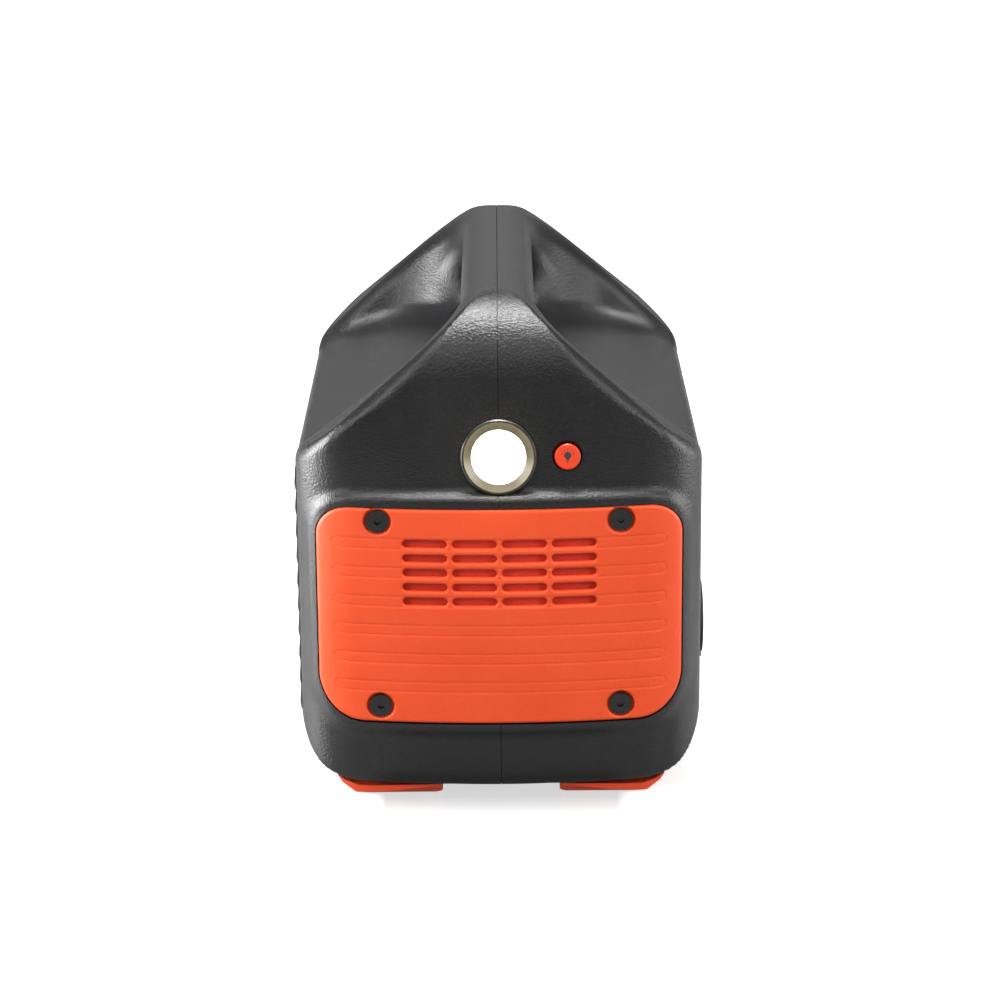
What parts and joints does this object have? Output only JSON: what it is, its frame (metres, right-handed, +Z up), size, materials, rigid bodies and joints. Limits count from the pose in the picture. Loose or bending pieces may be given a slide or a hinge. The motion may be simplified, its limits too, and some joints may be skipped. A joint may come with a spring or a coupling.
{
  "type": "jump starter pack",
  "caption": "Portable vehicle jump starter power pack: two-half case with a carry handle through the top, vented end covers, a torch and covered sockets.",
  "frame": {"origin": "centre of the footprint, on the plane the feet stand on", "axes": "+Z up; X along the case with the torch end at -X; -Y is the side with the sockets and buttons"},
  "size_m": [0.3, 0.1968, 0.24],
  "materials": {
    "black": "fine grained",
    "orange": "fine grained",
    "orange_dark": "satin",
    "rubber": "matt",
    "screw_black": "blackened",
    "panel": "fine grained",
    "clear": "clear",
    "display": "tinted",
    "chrome": "bright",
    "steel": "plated",
    "alu": "extruded",
    "brass": "plain",
    "board": "lacquered",
    "white_board": "lacquered",
    "cells": "wrapped",
    "blue": "satin",
    "screen": "matt",
    "wound": "wound copper on a core",
    "red_wire": "satin",
    "fan": "satin"
  },
  "bodies": {
    "case": {"front_shell": "black", "rear_shell": "black", "left_end_cover": "orange", "right_end_cover": "orange", "left_cover_screws": "screw_black", "right_cover_screws": "screw_black", "left_vent_screen": "screen", "right_vent_screen": "screen", "corner_feet": "orange_dark", "foot_screws": "screw_black", "handle_grip": "rubber", "shell_screws": "screw_black", "torch_bezel": "chrome", "torch_lens": "clear", "torch_reflector": "chrome", "torch_board": "white_board", "torch_switch_board": "board", "front_panel": "panel", "display_window": "display", "display_module": "board", "control_board": "board", "panel_switches": "black", "usb_ports": "steel", "car_socket": "panel", "car_socket_bezel": "panel", "car_socket_contact": "brass", "ac_outlet": "black", "ac_cover_pin": "steel", "jump_socket": "blue", "charge_jack": "panel", "battery_cells": "cells", "lower_cell_holder": "black", "upper_cell_holder": "black", "cell_strips": "steel", "battery_board": "board", "battery_bracket": "steel", "inverter_board": "board", "heat_sinks": "alu", "transformer": "wound", "capacitors": "alu", "inverter_posts": "steel", "fan_frame": "fan", "fan_screws": "screw_black", "battery_lead_red": "red_wire", "battery_lead_black": "rubber", "fan_lead": "rubber", "torch_lead": "rubber"},
    "torch_button": {"torch_button": "orange_dark"},
    "car_button": {"car_button": "orange_dark"},
    "usb_button": {"usb_button": "orange_dark"},
    "display_button": {"display_button": "orange_dark"},
    "ac_button": {"ac_button": "orange_dark"},
    "car_socket_cap": {"car_socket_cap": "rubber"},
    "jump_socket_cap": {"jump_socket_cap": "rubber"},
    "charge_jack_cap": {"charge_jack_cap": "rubber"},
    "ac_cover": {"ac_cover": "black"},
    "fan_rotor": {"fan_rotor": "fan"}
  },
  "joints": [
    {"name": "torch_button_press", "type": "slide", "parent": "case", "child": "torch_button", "axis": [0.9781, 0, -0.2079], "range_m": [0, 0.0012], "stiffness_N_per_m": 400},
    {"name": "car_button_press", "type": "slide", "parent": "case", "child": "car_button", "axis": [0, 1, 0], "range_m": [0, 0.0008], "stiffness_N_per_m": 500},
    {"name": "usb_button_press", "type": "slide", "parent": "case", "child": "usb_button", "axis": [0, 1, 0], "range_m": [0, 0.0008], "stiffness_N_per_m": 500},
    {"name": "display_button_press", "type": "slide", "parent": "case", "child": "display_button", "axis": [0, 1, 0], "range_m": [0, 0.0008], "stiffness_N_per_m": 500},
    {"name": "ac_button_press", "type": "slide", "parent": "case", "child": "ac_button", "axis": [0, 1, 0], "range_m": [0, 0.0008], "stiffness_N_per_m": 500},
    {"name": "car_cap_hinge", "type": "hinge", "parent": "case", "child": "car_socket_cap", "pos_m": [-0.082, -0.0975, 0.0524], "axis": [1, 0, 0], "range_deg": [0, 95]},
    {"name": "jump_cap_hinge", "type": "hinge", "parent": "case", "child": "jump_socket_cap", "pos_m": [-0.008, -0.09725, 0.0531], "axis": [1, 0, 0], "range_deg": [0, 95]},
    {"name": "charge_cap_hinge", "type": "hinge", "parent": "case", "child": "charge_jack_cap", "pos_m": [0.033, -0.09725, 0.0571], "axis": [1, 0, 0], "range_deg": [0, 95]},
    {"name": "ac_cover_hinge", "type": "hinge", "parent": "case", "child": "ac_cover", "pos_m": [0.076, -0.09625, 0.0944], "axis": [-1, 0, 0], "range_deg": [0, 105], "stiffness_Nm_per_rad": 0.02},
    {"name": "fan_spin", "type": "hinge", "parent": "case", "child": "fan_rotor", "pos_m": [0.122, 0, 0.113], "axis": [1, 0, 0], "continuous": true}
  ]
}
